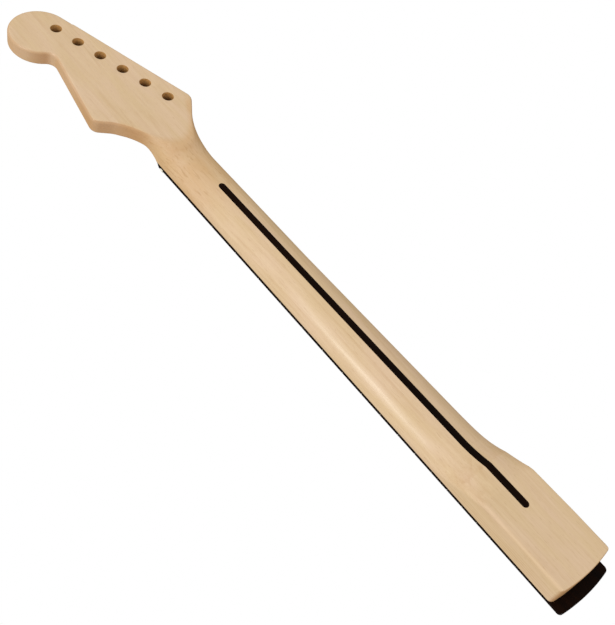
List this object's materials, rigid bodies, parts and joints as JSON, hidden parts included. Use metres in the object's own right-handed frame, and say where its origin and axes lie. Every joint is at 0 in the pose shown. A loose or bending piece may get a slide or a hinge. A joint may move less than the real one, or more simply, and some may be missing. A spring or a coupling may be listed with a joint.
{
  "type": "electric guitar neck",
  "caption": "Bolt-on electric guitar neck: maple shaft with one-sided headstock and flat heel, dark crowned fingerboard with frets and dots, and an adjustable truss rod.",
  "frame": {"origin": "on the flat back of the heel, on the centre line, halfway along the part a body pocket holds", "axes": "+X from the headstock to the heel, +Z out of the fingerboard, -Y towards the bass side"},
  "size_m": [0.6794, 0.0988, 0.0271],
  "materials": {
    "maple": "satin",
    "dark_wood": "satin",
    "nickel": "polished",
    "bone": "satin",
    "pearl": "gloss",
    "steel": "plain",
    "brass": "plain"
  },
  "bodies": {
    "neck": {"neck_shaft": "maple", "filler_stripe": "dark_wood", "fingerboard": "dark_wood", "nut": "bone", "fret_01": "nickel", "fret_02": "nickel", "fret_03": "nickel", "fret_04": "nickel", "fret_05": "nickel", "fret_06": "nickel", "fret_07": "nickel", "fret_08": "nickel", "fret_09": "nickel", "fret_10": "nickel", "fret_11": "nickel", "fret_12": "nickel", "fret_13": "nickel", "fret_14": "nickel", "fret_15": "nickel", "fret_16": "nickel", "fret_17": "nickel", "fret_18": "nickel", "fret_19": "nickel", "fret_20": "nickel", "fret_21": "nickel", "fret_22": "nickel", "face_dot_03": "pearl", "face_dot_05": "pearl", "face_dot_07": "pearl", "face_dot_09": "pearl", "face_dot_12_a": "pearl", "face_dot_12_b": "pearl", "face_dot_15": "pearl", "face_dot_17": "pearl", "face_dot_19": "pearl", "face_dot_21": "pearl", "side_dot_03": "pearl", "side_dot_05": "pearl", "side_dot_07": "pearl", "side_dot_09": "pearl", "side_dot_12_a": "pearl", "side_dot_12_b": "pearl", "side_dot_15": "pearl", "side_dot_17": "pearl", "side_dot_19": "pearl", "side_dot_21": "pearl", "truss_rod": "steel", "rod_washer": "steel", "rod_anchor": "steel"},
    "adjuster": {"rod_adjuster": "brass"}
  },
  "joints": [
    {"name": "rod_adjuster_turn", "type": "hinge", "parent": "neck", "child": "adjuster", "pos_m": [-0.44476, 0, 0.01], "axis": [1, 0, 0], "range_deg": [-270, 270]}
  ]
}
